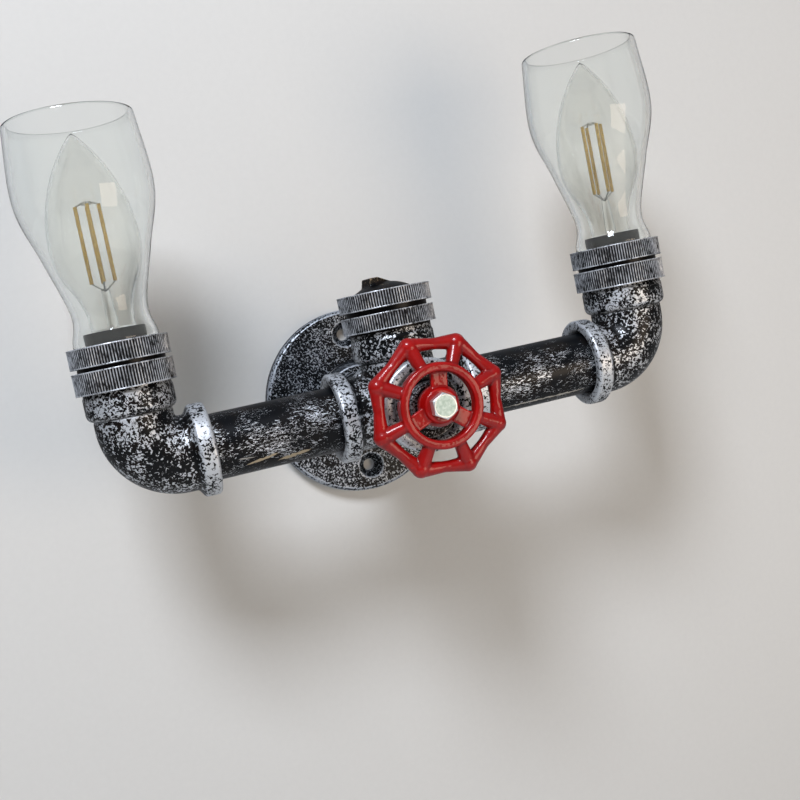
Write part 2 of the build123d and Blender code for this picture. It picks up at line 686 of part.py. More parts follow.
def filament_mount(side):
    """Glass stem with upright filament sticks round it."""
    stem = rod(LAMP_STEM_DIAMETER, LAMP_STEM_HEIGHT)
    mount = stem + rod(LAMP_STEM_CROWN_DIAMETER, FILAMENT_DIAMETER, LAMP_STEM_HEIGHT)
    for place in PolarLocations(FILAMENT_CIRCLE_DIAMETER / 2, FILAMENT_COUNT):
        mount += place * rod(FILAMENT_DIAMETER, FILAMENT_LENGTH, LAMP_STEM_HEIGHT)
    return cup_seat(side) * Pos(0, 0, LAMP_BASE + LAMP_CAP_LENGTH + LAMP_GLASS_WALL) * mount


# ---------------------------------------------------------------- front port


def front_frame():
    """Frame on the wheel's axis; Z runs out to the viewer, from the cross's centre."""
    return axis_frame(CROSS_CENTER, (0, -1, 0))


def front_bushing():
    """Threaded bushing in the front port, with a grooved boss round the spindle."""
    radius = PIPE_DIAMETER / 2
    boss_radius = BUSHING_BOSS_DIAMETER / 2
    groove_radius = boss_radius - BUSHING_GROOVE_DEPTH
    groove_base = BUSHING_FACE + (BUSHING_BOSS_LENGTH - BUSHING_GROOVE_WIDTH) / 2
    bore_radius = STEM_DIAMETER / 2 + STEM_RUNNING_GAP
    body = turned([
        (bore_radius, BUSHING_BACK),
        (radius, BUSHING_BACK),
        (radius, BUSHING_FACE),
        (boss_radius, BUSHING_FACE),
        (boss_radius, groove_base),
        (groove_radius, groove_base),
        (groove_radius, groove_base + BUSHING_GROOVE_WIDTH),
        (boss_radius, groove_base + BUSHING_GROOVE_WIDTH),
        (boss_radius, BUSHING_FRONT - BUSHING_BOSS_BEVEL),
        (boss_radius - BUSHING_BOSS_BEVEL, BUSHING_FRONT),
        (bore_radius, BUSHING_FRONT),
    ])
    return front_frame() * body


def valve_stem():
    """Spindle that turns in the bushing and takes the wheel's bolt in its end."""
    radius = STEM_DIAMETER / 2
    groove_radius = CLIP_GROOVE_DIAMETER / 2
    groove_top = BUSHING_BACK - STEM_END_GAP
    shaft = turned([
        (0, STEM_BACK),
        (radius, STEM_BACK),
        (radius, CLIP_BASE),
        (groove_radius, CLIP_BASE),
        (groove_radius, groove_top),
        (radius, groove_top),
        (radius, STEM_SHOULDER_BASE),
        (STEM_SHOULDER_DIAMETER / 2, STEM_SHOULDER_BASE),
        (STEM_SHOULDER_DIAMETER / 2, WHEEL_BACK),
        (0, WHEEL_BACK),
    ])
    hole_depth = BOLT_LENGTH - WHEEL_HUB_HEIGHT + BOLT_HOLE_MARGIN
    shaft -= rod(BOLT_DIAMETER + 2 * THREAD_GAP, hole_depth, WHEEL_BACK - hole_depth)
    return front_frame() * shaft


def stem_clip():
    """Open spring clip that keeps the spindle in the bushing."""
    clip = tube(CLIP_DIAMETER, CLIP_GROOVE_DIAMETER + 2 * THREAD_GAP, CLIP_THICKNESS, CLIP_BASE)
    clip -= Pos(CLIP_DIAMETER / 2, 0, CLIP_BASE) * Box(CLIP_DIAMETER, CLIP_MOUTH, CLIP_THICKNESS, align=BASE)
    return front_frame() * clip


def wheel_knob(angle):
    """Middle of a knob on the rim, where a spoke ends."""
    radius = WHEEL_REACH - WHEEL_KNOB_DIAMETER / 2
    return Vector(radius * cos(angle), radius * sin(angle), WHEEL_RIM_HEIGHT)


def rim_bar(start, end):
    """One length of the rim: an oval bar that bows in a little between two knobs."""
    chord_middle = (start + end) / 2
    inward = Vector(-chord_middle.X, -chord_middle.Y, 0).normalized()
    path = ThreePointArc(start, chord_middle + inward * WHEEL_RIM_WAIST, end)
    across = Plane(origin=start, x_dir=(0, 0, 1), z_dir=path % 0)
    section = across * Ellipse(WHEEL_RIM_BAR_THICKNESS / 2, WHEEL_RIM_BAR_WIDTH / 2)
    return sweep(section, path)


def wheel_sector(ring_radius, ring_height):
    """A spoke, its knob and the rim as far as the next knob."""
    knob = wheel_knob(0)
    spoke = bar(Vector(ring_radius, 0, ring_height), knob, WHEEL_SPOKE_DIAMETER)
    sector = spoke + Pos(*knob) * Sphere(WHEEL_KNOB_DIAMETER / 2)
    return sector + rim_bar(knob, wheel_knob(2 * pi / WHEEL_KNOB_COUNT))


def handwheel():
    """Cast wheel: waisted rim with eight knobs, round spokes, inner ring, webs and a cone hub."""
    ring_radius = (WHEEL_RING_OUTER_DIAMETER + WHEEL_RING_INNER_DIAMETER) / 4
    ring_height = WHEEL_RING_BASE + WHEEL_RING_HEIGHT / 2
    wheel = tube(WHEEL_RING_OUTER_DIAMETER, WHEEL_RING_INNER_DIAMETER, WHEEL_RING_HEIGHT, WHEEL_RING_BASE)
    wheel = fillet(wheel.edges().filter_by(GeomType.CIRCLE), WHEEL_RING_ROUND)
    wheel += turned([
        (0, 0),
        (WHEEL_HUB_BASE_DIAMETER / 2, 0),
        (WHEEL_HUB_BASE_DIAMETER / 2, WHEEL_HUB_STRAIGHT),
        (WHEEL_HUB_TOP_DIAMETER / 2, WHEEL_HUB_HEIGHT),
        (0, WHEEL_HUB_HEIGHT),
    ])
    web = Pos(ring_radius / 2, 0, WHEEL_WEB_BASE) * Box(
        ring_radius, WHEEL_WEB_WIDTH, WHEEL_WEB_THICKNESS, align=BASE
    )
    for place in PolarLocations(0, WHEEL_WEB_COUNT, start_angle=WHEEL_FIRST_KNOB + WHEEL_WEB_TURN):
        wheel += place * web
    sector = wheel_sector(ring_radius, ring_height)
    for place in PolarLocations(0, WHEEL_KNOB_COUNT, start_angle=WHEEL_FIRST_KNOB):
        wheel += place * sector
    wheel -= rod(BOLT_DIAMETER + 2 * WHEEL_BORE_GAP, WHEEL_HUB_HEIGHT)
    return front_frame() * Pos(0, 0, WHEEL_BACK) * wheel


def handwheel_bolt():
    """Hexagon bolt that holds the wheel on the spindle."""
    head = extrude(RegularPolygon(BOLT_FLATS / 2, 6, major_radius=False, rotation=30), BOLT_HEAD_HEIGHT)
    corner_radius = BOLT_FLATS / sqrt(3)
    dome = turned([
        (0, 0),
        (corner_radius + CUTTER_MARGIN, 0),
        (corner_radius + CUTTER_MARGIN, BOLT_HEAD_HEIGHT - BOLT_CORNER_DROP),
        (BOLT_FLATS / 2 * BOLT_FACE_SHARE, BOLT_HEAD_HEIGHT),
        (0, BOLT_HEAD_HEIGHT),
    ])
    bolt = (head & dome) + rod(BOLT_DIAMETER, BOLT_LENGTH, -BOLT_LENGTH)
    return front_frame() * Pos(0, 0, WHEEL_BACK + WHEEL_HUB_HEIGHT) * bolt


# ---------------------------------------------------------------- wiring


def lead(side):
    """Sheathed lead from a lampholder, through elbow, pipe and cross, to the terminal block."""
    bend = LEAD_BEND_RADIUS
    depth = -PIPE_AXIS_FROM_WALL
    far = side * HALF_SPAN
    near = side * LEAD_SPACING / 2
    top = CUP_PORT_HEIGHT + CUP_FLOOR_TOP + HOLDER_ENTRY_DEPTH - LEAD_END_GAP
    end = -TERMINAL_FROM_WALL - TERMINAL_LENGTH / 2
    start = Vector(far, depth, top)
    path = FilletPolyline(
        start,
        (far, depth, 0),
        (near, depth, 0),
        (near, end, 0),
        radius=bend,
    )
    section = Plane(origin=start, z_dir=(0, 0, -1)) * Circle(LEAD_DIAMETER / 2)
    return sweep(section, path)


NODES = {
    "wall_flange": wall_flange,
    "rear_nipple": rear_nipple,
    "terminal_block": terminal_block,
    "terminal_screws": terminal_screws,
    "center_fitting": center_fitting,
    "center_cup": lambda: cup_axis(0) * Pos(0, 0, CUP_PORT_HEIGHT) * cup(),
    "center_lock_ring": lambda: lock_ring(0),
    "center_plug_ring": lambda: shade_ring(0),
    "top_plug": top_plug,
    "front_bushing": front_bushing,
    "valve_stem": valve_stem,
    "stem_clip": stem_clip,
    "handwheel": handwheel,
    "handwheel_bolt": handwheel_bolt,
}

SIDE_NODES = {
    "pipe": pipe,
    "elbow": elbow,
    "cup": lambda side: cup_seat(side) * cup(),
    "lock_ring": lock_ring,
    "shade_ring": shade_ring,
    "shade_gasket": shade_gasket,
    "glass_shade": glass_shade,
    "lampholder_nipple": lampholder_nipple,
    "lampholder_nut": lampholder_nut,
    "lampholder": lampholder,
    "screw_shell": screw_shell,
    "center_contact": center_contact,
    "lamp_cap": lamp_cap,
    "lamp_glass": lamp_glass,
    "filament_mount": filament_mount,
    "lead": lead,
}


def main():
    os.makedirs("parts", exist_ok=True)
    for name, make in NODES.items():
        export_step(make(), f"parts/{name}.step")
    for prefix, side in (("left", -1), ("right", 1)):
        for name, make in SIDE_NODES.items():
            export_step(make(side), f"parts/{prefix}_{name}.step")


main()
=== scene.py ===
import json
from math import cos, pi, radians, sin

import bmesh
import bpy
from mathutils import Matrix, Quaternion, Vector
from mathutils.geometry import interpolate_bezier

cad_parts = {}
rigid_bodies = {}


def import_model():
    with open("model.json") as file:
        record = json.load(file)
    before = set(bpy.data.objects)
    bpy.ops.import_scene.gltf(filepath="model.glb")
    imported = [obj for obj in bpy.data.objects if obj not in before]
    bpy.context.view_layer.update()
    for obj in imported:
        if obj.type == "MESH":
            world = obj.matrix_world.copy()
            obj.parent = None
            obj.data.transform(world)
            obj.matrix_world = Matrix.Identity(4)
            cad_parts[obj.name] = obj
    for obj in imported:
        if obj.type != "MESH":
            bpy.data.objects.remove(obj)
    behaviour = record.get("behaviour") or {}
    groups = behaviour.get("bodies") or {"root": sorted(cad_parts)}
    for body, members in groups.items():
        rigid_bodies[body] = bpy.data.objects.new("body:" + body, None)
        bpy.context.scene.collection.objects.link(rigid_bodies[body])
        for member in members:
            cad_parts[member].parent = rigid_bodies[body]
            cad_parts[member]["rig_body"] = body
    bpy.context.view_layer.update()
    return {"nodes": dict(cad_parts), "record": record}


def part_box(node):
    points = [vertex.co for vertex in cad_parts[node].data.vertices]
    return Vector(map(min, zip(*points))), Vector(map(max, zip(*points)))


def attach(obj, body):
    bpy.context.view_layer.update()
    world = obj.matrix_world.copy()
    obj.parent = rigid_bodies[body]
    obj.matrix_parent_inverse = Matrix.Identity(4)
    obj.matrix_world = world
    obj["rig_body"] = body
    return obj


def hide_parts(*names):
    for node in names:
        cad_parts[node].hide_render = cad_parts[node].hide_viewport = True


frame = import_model()

# Industrial pipe wall light: black iron fittings rubbed with silver, a red handwheel and two clear
# glass shades. Metres, in the frame's own axes: the wall is y = 0 and the lamp stands out along -Y.
MM = 0.001
NODES = frame["nodes"]
SLOTS = {part["node"]: part["material_slot"] for part in frame["record"]["subparts"]}
SIDES = ("left", "right")


def middle(node):
    low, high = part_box(node)
    return (low + high) / 2


def foot_of(node):
    """Middle of the node's lowest face."""
    foot = middle(node)
    foot.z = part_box(node)[0].z
    return foot


# ---------------------------------------------------------------- sizes

# The camera stands left of the lamp and a little above its pipes, and is held with a slight roll.
CAMERA_PLACE = Vector((-129.33, -516.45, 37.18)) * MM
CAMERA_HEADING = radians(16.46)
CAMERA_TILT = radians(-4.50)
CAMERA_ROLL = radians(11.47)
CAMERA_LENS = 47.98
CAMERA_SENSOR = 36.0
CAMERA_NEAR = 10.0 * MM

# Places that the frame gives
CROSS_CENTRE = Vector((0, middle("left_pipe").y, 0))
CROSS_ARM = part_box("center_fitting")[1].x
ELBOW_CENTRE = {side: Vector((middle(side + "_cup").x, CROSS_CENTRE.y, 0)) for side in SIDES}
ELBOW_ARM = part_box("left_elbow")[1].x - ELBOW_CENTRE["left"].x
PIPE_RADIUS = (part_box("left_pipe")[1].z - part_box("left_pipe")[0].z) / 2

# Castings: the grid of their even surface, and how many times their edges and corners are eased
WELD = 0.001 * MM
WHEEL_GRID, WHEEL_EASING = 0.32 * MM, 14
CROSS_GRID, CROSS_EASING = 0.6 * MM, 3
FLANGE_GRID, FLANGE_EASING = 0.5 * MM, 3
BUSHING_GRID, BUSHING_EASING = 0.4 * MM, 2
PLUG_GRID, PLUG_EASING = 0.35 * MM, 4
CUP_GRID, CUP_EASING = 0.45 * MM, 3
ELBOW_GRID, ELBOW_EASING = 0.5 * MM, 4

# Edges of the rings and of the bolt
FLAT_ENOUGH = radians(1)
SHARP_EDGE = radians(25)
EDGE_BREAK = 0.12 * MM
BOLT_EDGE_ROUND = 0.3 * MM

# The handwheel's knobs and ring, about its own axis and measured forward from its back
WHEEL_KNOB_COUNT = 8
WHEEL_FIRST_KNOB = radians(17.0)
WHEEL_KNOB_CIRCLE = 25.8 * MM
WHEEL_KNOB_HEIGHT = 3.2 * MM
WHEEL_KNOB_RADIUS = 3.2 * MM
WHEEL_BOSS_CIRCLE = 25.3 * MM
WHEEL_BOSS_RADIUS = 3.7 * MM
WHEEL_BOSS_STEPS = 4
WHEEL_RING_CIRCLE = 15.4 * MM
WHEEL_RING_HEIGHT = 6.2 * MM
WHEEL_SPOKE_RADIUS = 2.5 * MM
WHEEL_GUSSET_SHARE = 0.5
WHEEL_GUSSET_RADIUS = 2.2 * MM
BAR_SIDES = 24

# Outside of the glass shade in millimetres: radius and height above its foot, from neck and waist
# to bowl and mouth
SHADE_KNOTS = [(16.6, 5.6), (14.8, 17.5), (20.9, 39.75), (27.0, 62.0), (25.0, 92.0)]
SHADE_WALL = 2.0
SHADE_LIP_STEPS = 10
SHADE_STEPS = 14
SHADE_SEGMENTS = 128

# Inside the lamp, measured up from the foot of its mount. The sticks' upper wires lean in to a
# disc, the crown, whose own heights are above the sticks' tops.
STEM_FOOT_RADIUS = 2.5 * MM
STEM_TOP_RADIUS = 1.6 * MM
STEM_HEIGHT = 16.0 * MM
STICK_COUNT = 4
STICK_CIRCLE = 4.5 * MM
STICK_RADIUS = 0.75 * MM
STICK_FOOT = 18.5 * MM
STICK_TOP = 48.5 * MM
WIRE_RADIUS = 0.3 * MM
WIRE_SUNK = 1.0 * MM
WIRE_RISE = 1.0 * MM
WIRE_LEAN = 0.4
CROWN_RADIUS = 2.0 * MM
CROWN_FOOT = 0.4 * MM
CROWN_TOP = 1.2 * MM

# Where the finishes change, and over what width they do
COLLAR_WIDTH = 7.0 * MM
COLLAR_FADE = 0.5 * MM
PARTING_LINE_WIDTH = 0.8 * MM
CUP_THREAD_FOOT = 31.5 * MM
CUP_THREAD_FADE = 1.0 * MM
KNURL_DEPTH = 0.6 * MM
BOLT_FACE_RADIUS = 4.0 * MM
BOLT_FACE_FADE = 0.2 * MM

# Scratches and a seam low on the fronts of the pipes, in millimetres: ends (x, z), half width, and
# the colour of what shows there
PIPE_STREAKS = [
    ((-73.0, -9.2), (-58.0, -7.0), 0.55, "#b5a68c"),
    ((-60.0, -10.2), (-45.0, -8.6), 0.7, "#b5a68c"),
    ((-76.0, -6.0), (-68.0, -6.6), 0.3, "#a3a09a"),
    ((34.0, -10.6), (82.5, -10.6), 0.3, "#b9b6ae"),
]
STREAK_RAGGED = 0.3 * MM
STREAK_FADE = 0.15 * MM

# Patterns at their real size
BRUSH_CURL = 2.2 * MM
BRUSH_DAB = 8.0 * MM
CLOTH_PASS = 7.0 * MM
PAINT_CHIP = 1.2 * MM
ENAMEL_POOL = 9.0 * MM
ENAMEL_SAG = 4.0 * MM
ZINC_CLOUD = 1.4 * MM
GLASS_SWELL = 18.0 * MM

# Patterns too fine to show at their real size, so they are drawn coarser: moulding sand of 0.3 mm,
# the threads of a wiping cloth, 0.2 mm, and the fibres of card, 0.1 mm
SAND_GRAIN = 1.6 * MM
CLOTH_THREAD = 0.5 * MM
CARD_FIBRE = 3.0 * MM

# Height of the relief in the finishes
PAINT_RELIEF = 0.1 * MM
RING_RELIEF = 0.06 * MM
ENAMEL_RELIEF = 0.4 * MM
CLOUD_RELIEF = 0.05 * MM
SHADE_WAVE = 0.15 * MM
LAMP_WAVE = 0.02 * MM

# The wall's card stands just behind the flange, and the floor's well below the lamp.
WALL_GAP = 0.3 * MM
STAGE_SIZE = 4.0
FLOOR_DROP = 0.30

# ---------------------------------------------------------------- materials

# In the lists below, MapRange takes a value, the two ends that it comes from and the two that it
# goes to (0 and 1 where none are given), and MixRGB takes a share and the colours at 0 and at 1.


def linear(hex_colour):
    """Linear colour of an sRGB hex value."""
    levels = [int(hex_colour[i:i + 2], 16) / 255 for i in (1, 3, 5)]
    return [v / 12.92 if v <= 0.04045 else ((v + 0.055) / 1.055) ** 2.4 for v in levels] + [1.0]


def add(tree, kind, inputs=(), **settings):
    """Adds a node with its settings, and gives its sockets their values and links.

    inputs is a dict by socket, or a list for the first sockets in turn. Each entry is a value, an
    output, or a node whose first output is linked.
    """
    node = tree.nodes.new("ShaderNode" + kind)
    for name, value in settings.items():
        setattr(node, name, value)
    for socket, value in inputs.items() if isinstance(inputs, dict) else enumerate(inputs):
        if isinstance(value, bpy.types.Node):
            value = value.outputs[0]
        if isinstance(value, bpy.types.NodeSocket):
            tree.links.new(value, node.inputs[socket])
        else:
            node.inputs[socket].default_value = value
    return node


def new_material(name):
    """A material with no node but the one that gives the object's own coordinates."""
    material = bpy.data.materials.new(name)
    material.use_nodes = True
    tree = material.node_tree
    tree.nodes.clear()
    return material, tree, add(tree, "TexCoord").outputs["Object"]


def rubbed_silver(
    name, speck, cover, patch, swing, worn=0.0, silver="#d3d6da", paints=("#060709", "#170f0a"),
    stretch=(1, 1, 1), more=None, over=None,
):
    """Black paint with silver wiped over it: it clings in specks, in patches and on worn edges.

    speck and patch are their real sizes in metres, cover is the share of silver, swing how much it
    changes from patch to patch and worn how much more the edges have. paints are the two tones of
    the black underneath. stretch draws the specks out along an axis, more(tree, place) may add
    cover and over(tree, place, colour) may lay something over the finished colour.
    """
    material, tree, place = new_material(name)
    drawn = add(tree, "Mapping", {"Vector": place, "Scale": [1 / length for length in stretch]})
    fine = add(tree, "TexNoise", {
        "Vector": drawn, "Scale": 1 / speck, "Detail": 3.0, "Roughness": 0.55, "Distortion": 0.8,
    })
    wide = add(tree, "TexNoise", {
        "Vector": place, "Scale": 1 / patch, "Detail": 2.0, "Roughness": 0.6,
    })
    uneven = add(tree, "MapRange", [wide, 0.3, 0.7, -swing, swing])
    level = add(tree, "Math", [fine, uneven], operation="ADD")
    if worn:
        # Pointiness is 0.5 where the surface is flat, more on edges and less in corners.
        pointed = add(tree, "NewGeometry").outputs["Pointiness"]
        edges = add(tree, "MapRange", [pointed, 0.505, 0.56, 0.0, worn])
        corners = add(tree, "MapRange", [pointed, 0.44, 0.495, -0.3, 0.0])
        level = add(tree, "Math", [level, edges], operation="ADD")
        level = add(tree, "Math", [level, corners], operation="ADD")
    if more:
        level = add(tree, "Math", [level, more(tree, place)], operation="ADD")
    # The specks' noise lies between about 0.34 and 0.66, and silver is where it passes start.
    start = 0.66 - 0.32 * cover
    film = add(tree, "MapRange", [level, start, start + 0.035])
    tone = add(tree, "MapRange", [wide, 0.42, 0.62])
    black = add(tree, "MixRGB", [tone, linear(paints[0]), linear(paints[1])])
    colour = add(tree, "MixRGB", [film, black, linear(silver)])
    if over:
        colour = over(tree, place, colour)
    sand = add(tree, "TexNoise", {
        "Vector": place, "Scale": 1 / SAND_GRAIN, "Detail": 3.0, "Roughness": 0.6,
    })
    height = add(tree, "Math", [film, sand], operation="ADD")
    shader = add(tree, "BsdfPrincipled", {
        "Base Color": colour,
        "Metallic": add(tree, "MapRange", [film, 0, 1, 0.0, 0.6]),
        "Roughness": add(tree, "MapRange", [film, 0, 1, 0.3, 0.42]),
        "Specular IOR Level": 0.2,
        "Normal": add(tree, "Bump", {"Strength": 0.4, "Distance": PAINT_RELIEF, "Height": height}),
    })
    add(tree, "OutputMaterial", {"Surface": shader})
    return material


def more_on_collars(centre, reach, parting_axis):
    """Adds silver past reach from a fitting's centre, and along the line where its moulds met."""
    def more(tree, place):
        offset = add(tree, "VectorMath", [place, centre], operation="SUBTRACT")
        size = add(tree, "VectorMath", [offset], operation="ABSOLUTE")
        axes = add(tree, "SeparateXYZ", [size]).outputs
        far = add(tree, "Math", [axes["X"], axes["Y"]], operation="MAXIMUM")
        collar = add(tree, "MapRange", [far, reach, reach + COLLAR_FADE, 0.0, 0.1])
        line = add(tree, "MapRange", [
            axes[parting_axis], PARTING_LINE_WIDTH / 2, PARTING_LINE_WIDTH, 0.12, 0.0,
        ])
        return add(tree, "Math", [collar, line], operation="ADD")
    return more


def unwiped_thread_and_groove_shade(tree, place):
    """Takes silver off the cups' threads, which the rings cover, and so paints the shade in the
    groove between the rings.
    """
    # Painted shade: above the thread's foot the cup is black, for the dark groove between the
    # rings.
    rise = add(tree, "SeparateXYZ", [place]).outputs["Z"]
    return add(tree, "MapRange", [
        rise, CUP_THREAD_FOOT, CUP_THREAD_FOOT + CUP_THREAD_FADE, 0.0, -0.5,
    ])


def swirls_and_highlight_on_pipe(tree, place):
    """Adds the thin curling strokes of a dry brush, in dabs, and a painted highlight: more silver
    along the front, where the light falls, and less towards the top and bottom.
    """
    drawn = add(tree, "Mapping", {"Vector": place, "Scale": (1 / 2.0, 1, 1)})
    hairs = add(tree, "TexNoise", {
        "Vector": drawn, "Scale": 1 / BRUSH_CURL, "Detail": 3.0, "Roughness": 0.6,
        "Distortion": 1.6,
    })
    off = add(tree, "Math", [hairs, 0.5], operation="SUBTRACT")
    line = add(tree, "Math", [off], operation="ABSOLUTE")
    stroke = add(tree, "MapRange", [line, 0.0, 0.02, 0.3, 0.0])
    drawn = add(tree, "Mapping", {"Vector": place, "Scale": (1 / 1.5, 1, 1)})
    dabs = add(tree, "TexNoise", {
        "Vector": drawn, "Scale": 1 / BRUSH_DAB, "Detail": 1.0, "Roughness": 0.6,
    })
    dab = add(tree, "MapRange", [dabs, 0.4, 0.6])
    painted = add(tree, "Math", [stroke, dab], operation="MULTIPLY")
    # Painted highlight: more silver on the band along the front, and less towards the top and
    # bottom.
    depth = add(tree, "SeparateXYZ", [place]).outputs["Y"]
    crown = CROSS_CENTRE.y - 0.95 * PIPE_RADIUS
    edge = CROSS_CENTRE.y - 0.2 * PIPE_RADIUS
    front = add(tree, "MapRange", [depth, crown, edge, 0.03, -0.15])
    return add(tree, "Math", [painted, front], operation="ADD")


def streaks_on_pipe(tree, place, colour):
    """Lays the pipes' scratches and seam over the colour: ragged lines that thin to their ends."""
    axes = add(tree, "SeparateXYZ", [place]).outputs
    front = add(tree, "Math", [axes["Y"], CROSS_CENTRE.y], operation="LESS_THAN")
    drawn = add(tree, "Mapping", {"Vector": place, "Scale": (1 / 2, 1, 1)})
    chips = add(tree, "TexNoise", {
        "Vector": drawn, "Scale": 1 / PAINT_CHIP, "Detail": 4.0, "Roughness": 0.6,
    })
    ragged = add(tree, "MapRange", [chips, 0.3, 0.7, -STREAK_RAGGED, STREAK_RAGGED])
    for (x0, z0), (x1, z1), half_width, streak in PIPE_STREAKS:
        straight = add(tree, "MapRange", [axes["X"], x0 * MM, x1 * MM, z0 * MM, z1 * MM])
        line = add(tree, "Math", [straight, ragged], operation="ADD")
        above = add(tree, "Math", [axes["Z"], line], operation="SUBTRACT")
        off = add(tree, "Math", [above], operation="ABSOLUTE")
        along = add(tree, "MapRange", [axes["X"], x0 * MM, x1 * MM, -1.0, 1.0])
        ends = add(tree, "Math", [along], operation="ABSOLUTE")
        reach = add(tree, "MapRange", [ends, 0.5, 1.0, half_width * MM, 0.0])
        past = add(tree, "Math", [off, reach], operation="SUBTRACT")
        near = add(tree, "MapRange", [past, -STREAK_FADE, 0.0, 1.0, 0.0])
        mask = add(tree, "Math", [front, near], operation="MULTIPLY")
        colour = add(tree, "MixRGB", [mask, colour, linear(streak)])
    return colour


def knurled_silver(name, centre, ridge_radius):
    """Rolled knurling, painted black and wiped with silver, about an upright axis at centre.

    The ridges and rims take the silver and glint one by one, and the valleys stay black.
    """
    material, tree, place = new_material(name)
    offset = add(tree, "VectorMath", [place, centre], operation="SUBTRACT")
    flat = add(tree, "VectorMath", [offset, (1, 1, 0)], operation="MULTIPLY")
    radius = add(tree, "VectorMath", [flat], operation="LENGTH").outputs["Value"]
    ridge = add(tree, "MapRange", [
        radius, ridge_radius - 0.6 * KNURL_DEPTH, ridge_radius - 0.1 * KNURL_DEPTH,
    ])
    drawn = add(tree, "Mapping", {"Vector": place, "Scale": (1, 1, 1 / 4)})
    threads = add(tree, "TexNoise", {
        "Vector": drawn, "Scale": 1 / CLOTH_THREAD, "Detail": 4.0, "Roughness": 0.6,
    })
    passes = add(tree, "TexNoise", {
        "Vector": place, "Scale": 1 / CLOTH_PASS, "Detail": 2.0, "Roughness": 0.6,
    })
    rubbed = add(tree, "MapRange", [threads, 0.3, 0.62])
    uneven = add(tree, "MapRange", [passes, 0.3, 0.7, -0.45, 0.3])
    kept = add(tree, "Math", [rubbed, uneven], operation="ADD")
    film = add(tree, "Math", [ridge, kept], operation="MULTIPLY", use_clamp=True)
    shader = add(tree, "BsdfPrincipled", {
        "Base Color": add(tree, "MixRGB", [film, linear("#050506"), linear("#e6e9ee")]),
        "Metallic": add(tree, "MapRange", [film, 0, 1, 0.0, 0.6]),
        "Roughness": add(tree, "MapRange", [film, 0, 1, 0.45, 0.36]),
        "Specular IOR Level": 0.2,
        "Normal": add(tree, "Bump", {"Strength": 0.4, "Distance": RING_RELIEF, "Height": threads}),
    })
    add(tree, "OutputMaterial", {"Surface": shader})
    return material


def red_enamel():
    """Gloss enamel, dipped thickly over a rough casting.

    Its red is darker in the corners, which is painted shade, and brighter on the ridges, which is
    painted highlight where the enamel also thins. Its slow waves bend the highlights.
    """
    material, tree, place = new_material("gloss_red_enamel")
    pointed = add(tree, "NewGeometry").outputs["Pointiness"]
    pools = add(tree, "TexNoise", {
        "Vector": place, "Scale": 1 / ENAMEL_POOL, "Detail": 2.0, "Roughness": 0.6,
    })
    # Painted shade and highlight: darker red in the corners and brighter red on the ridges.
    ridges = add(tree, "MapRange", [pointed, 0.45, 0.54])
    uneven = add(tree, "MapRange", [pools, 0.3, 0.7, -0.12, 0.12])
    thin = add(tree, "Math", [ridges, uneven], operation="ADD")
    sags = add(tree, "TexNoise", {
        "Vector": place, "Scale": 1 / ENAMEL_SAG, "Detail": 2.0, "Roughness": 0.6,
    })
    surface = add(tree, "Bump", {"Strength": 0.4, "Distance": ENAMEL_RELIEF, "Height": sags})
    shader = add(tree, "BsdfPrincipled", {
        "Base Color": add(tree, "MixRGB", [thin, linear("#4c0101"), linear("#b30402")]),
        "Roughness": 0.4,
        "Specular IOR Level": 0.2,
        "Coat Weight": 0.6,
        "Coat Roughness": 0.05,
        "Normal": surface,
        "Coat Normal": surface,
    })
    add(tree, "OutputMaterial", {"Surface": shader})
    return material


def clouded(name, light, dark, cloud, roughness, metallic=0.0):
    """A plain finish with a faint cloud in its colour, its polish and its relief.

    It serves bare and plated metal (metallic 1) and moulded plastic, rubber and gel. Their own
    grain, under 0.2 mm, is too fine to show, so it is drawn as coarse as cloud, in metres.
    """
    material, tree, place = new_material(name)
    grain = add(tree, "TexNoise", {
        "Vector": place, "Scale": 1 / cloud, "Detail": 4.0, "Roughness": 0.6,
    })
    tone = add(tree, "MapRange", [grain, 0.35, 0.65])
    shader = add(tree, "BsdfPrincipled", {
        "Base Color": add(tree, "MixRGB", [tone, linear(dark), linear(light)]),
        "Metallic": metallic,
        "Roughness": add(tree, "MapRange", [grain, 0.3, 0.7, roughness, roughness + 0.14]),
        "Normal": add(tree, "Bump", {"Strength": 0.25, "Distance": CLOUD_RELIEF, "Height": grain}),
    })
    add(tree, "OutputMaterial", {"Surface": shader})
    return material


def zinc_plate(centre):
    """Zinc plate on a rolled bolt: a dull, faintly green face inside a bright turned chamfer."""
    material, tree, place = new_material("zinc_plated_steel")
    offset = add(tree, "VectorMath", [place, centre], operation="SUBTRACT")
    flat = add(tree, "VectorMath", [offset, (1, 0, 1)], operation="MULTIPLY")
    radius = add(tree, "VectorMath", [flat], operation="LENGTH").outputs["Value"]
    bright = add(tree, "MapRange", [radius, BOLT_FACE_RADIUS, BOLT_FACE_RADIUS + BOLT_FACE_FADE])
    clouds = add(tree, "TexNoise", {
        "Vector": place, "Scale": 1 / ZINC_CLOUD, "Detail": 5.0, "Roughness": 0.6,
    })
    tone = add(tree, "MapRange", [clouds, 0.35, 0.65])
    face = add(tree, "MixRGB", [tone, linear("#a9bcab"), linear("#d3ded2")])
    shader = add(tree, "BsdfPrincipled", {
        "Base Color": add(tree, "MixRGB", [bright, face, linear("#f2f4f2")]),
        "Metallic": add(tree, "MapRange", [bright, 0, 1, 0.2, 0.8]),
        "Roughness": add(tree, "MapRange", [bright, 0, 1, 0.45, 0.28]),
        "Normal": add(tree, "Bump", {"Strength": 0.3, "Distance": CLOUD_RELIEF, "Height": clouds}),
    })
    add(tree, "OutputMaterial", {"Surface": shader})
    return material


